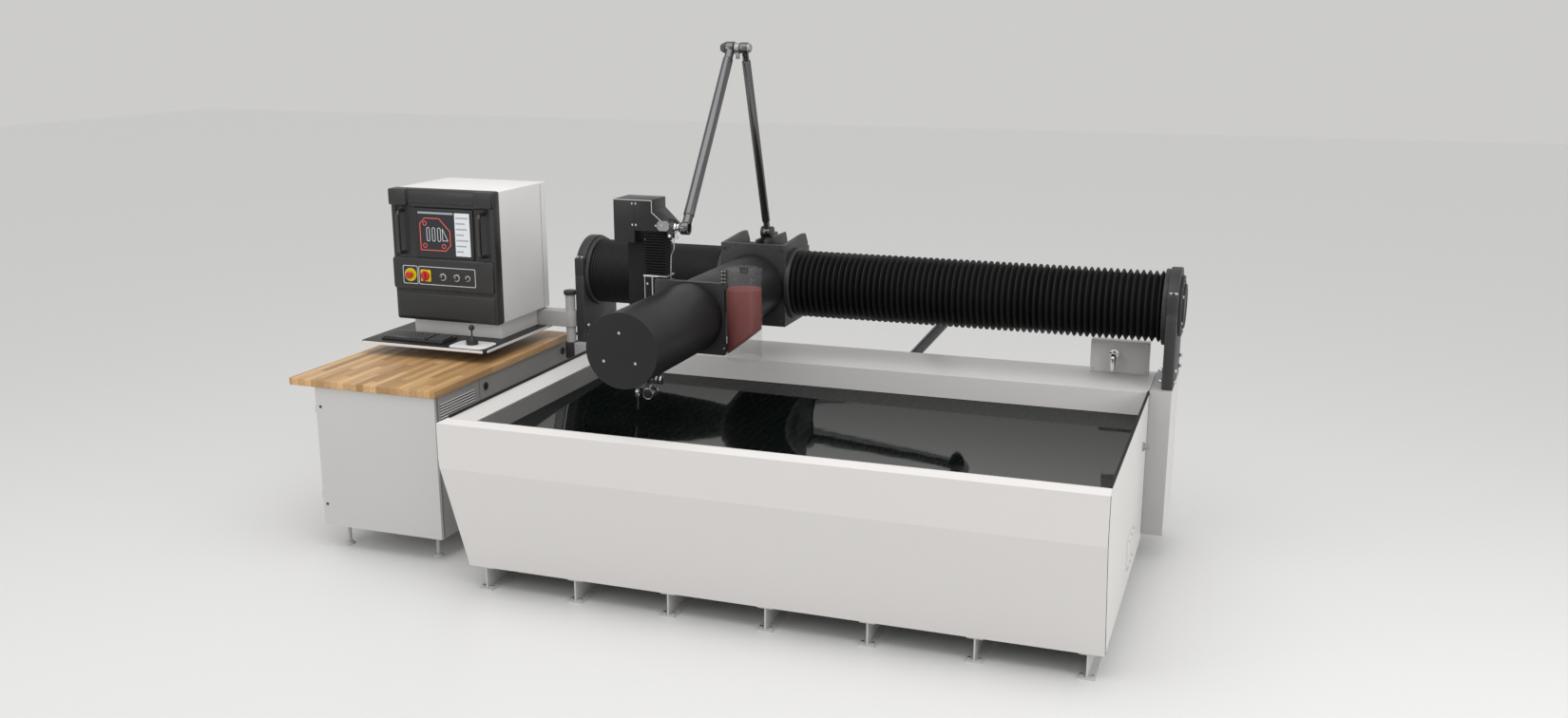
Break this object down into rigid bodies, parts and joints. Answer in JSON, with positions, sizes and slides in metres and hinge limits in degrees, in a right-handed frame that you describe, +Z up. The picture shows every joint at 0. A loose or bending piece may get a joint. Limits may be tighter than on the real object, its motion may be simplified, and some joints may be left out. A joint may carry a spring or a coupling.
{
  "type": "waterjet cutting machine",
  "caption": "Waterjet cutting machine: open water tank on foot beams, rear bridge with bellows, round cantilever arm with cutting head, and a swinging console over a cabinet.",
  "frame": {"origin": "on the floor, under the middle foot beam, 900 mm behind the tank's front fold", "axes": "+X along the tank to the right, +Y from the front to the bridge, +Z up"},
  "size_m": [4.541, 2.426, 2.7173],
  "materials": {
    "white_paint": "satin",
    "grey_paint": "satin",
    "dark_paint": "satin",
    "zinc_steel": "matte",
    "bright_steel": "satin",
    "chrome_pipe": "polished",
    "black_rubber": "matte",
    "bellows_cloth": "matte",
    "clear_plastic": "clear",
    "garnet_grain": "matte",
    "dark_plastic": "satin",
    "red_plastic": "gloss",
    "butcher_block": "oiled"
  },
  "bodies": {
    "base": {"tank_front": "white_paint", "tank_left_end": "white_paint", "tank_left_lining": "white_paint", "tank_right_end": "white_paint", "tank_rear": "white_paint", "tank_floor": "dark_paint", "rim_trims": "black_rubber", "foot_beams": "grey_paint", "support_slats": "zinc_steel", "slat_rails": "dark_paint", "wall_fittings": "grey_paint", "bridge_columns": "white_paint", "bracket_saddles": "dark_paint", "bracket_caps": "dark_paint", "bridge_beam": "bright_steel", "beam_ends": "dark_paint", "bellows_rings": "dark_paint", "beam_bellows_left": "bellows_cloth", "beam_bellows_right": "bellows_cloth", "rear_lower_tube": "dark_paint", "rear_upper_tube": "dark_paint", "fill_box": "grey_paint", "fill_pipe": "chrome_pipe", "cabinet_body": "grey_paint", "cabinet_feet": "dark_paint", "door_hinges": "bright_steel", "wood_top": "butcher_block", "swing_post": "bright_steel"},
    "x_carriage": {"carriage_plates": "dark_paint", "carriage_hub": "dark_paint", "bellows_flanges": "dark_paint", "tube_stand": "dark_paint", "rear_stub": "dark_paint", "arm_tube": "dark_paint", "arm_end_cap": "dark_paint"},
    "y_carriage": {"head_plate": "dark_paint", "z_mount": "dark_paint", "z_cover": "dark_paint", "tube_swivel": "bright_steel", "hopper_glass": "clear_plastic", "hopper_garnet": "garnet_grain", "hopper_fittings": "dark_plastic", "z_bellows": "bellows_cloth"},
    "z_head": {"z_ram": "bright_steel", "head_bracket": "dark_paint", "cutting_nozzle": "bright_steel", "head_probe": "dark_plastic"},
    "lower_tube_link": {"lower_tube": "dark_paint"},
    "upper_tube_link": {"upper_tube": "dark_paint"},
    "door": {"cabinet_door": "grey_paint"},
    "console": {"swing_arm": "dark_paint", "console_box": "white_paint", "console_bezel": "dark_plastic", "keyboard_tray": "dark_paint", "desk_controls": "dark_plastic"},
    "stop_mushroom": {"stop_button": "red_plastic"},
    "switch_knob": {"main_switch": "red_plastic"}
  },
  "joints": [
    {"name": "x_slide", "type": "slide", "parent": "base", "child": "x_carriage", "axis": [1, 0, 0], "range_m": [-0.57, 1.97], "deforming": ["beam_bellows_left", "beam_bellows_right"]},
    {"name": "y_slide", "type": "slide", "parent": "x_carriage", "child": "y_carriage", "axis": [0, 1, 0], "range_m": [-0.677, 0.72]},
    {"name": "z_slide", "type": "slide", "parent": "y_carriage", "child": "z_head", "axis": [0, 0, 1], "range_m": [-0.012, 0.191], "deforming": ["z_bellows"]},
    {"name": "lower_tube_swing", "type": "hinge", "parent": "x_carriage", "child": "lower_tube_link", "pos_m": [-0.617, 0.98, 1.64], "axis": [1, 0, 0], "range_deg": [-26, 26]},
    {"name": "upper_tube_swing", "type": "hinge", "parent": "lower_tube_link", "child": "upper_tube_link", "pos_m": [-0.696, 0.6315, 2.6833], "axis": [1, 0, 0], "range_deg": [-42, 42]},
    {"name": "console_swing", "type": "hinge", "parent": "base", "child": "console", "pos_m": [-1.814, 0.805, 1.08], "axis": [0, 0, 1], "range_deg": [-45, 20]},
    {"name": "cabinet_door_hinge", "type": "hinge", "parent": "base", "child": "door", "pos_m": [-2.667, -0.507, 0.5], "axis": [0, 0, 1], "range_deg": [-110, 0]},
    {"name": "stop_press", "type": "slide", "parent": "console", "child": "stop_mushroom", "axis": [0, 1, 0], "range_m": [0, 0.006], "stiffness_N_per_m": 400},
    {"name": "switch_turn", "type": "hinge", "parent": "console", "child": "switch_knob", "pos_m": [-2.432, 0.22, 1.403], "axis": [0, 1, 0], "range_deg": [0, 90]}
  ],
  "couplings": [
    {"joint": "lower_tube_swing", "follows": "y_slide", "rad_per_m": -0.6063},
    {"joint": "upper_tube_swing", "follows": "y_slide", "rad_per_m": 0.99635}
  ]
}
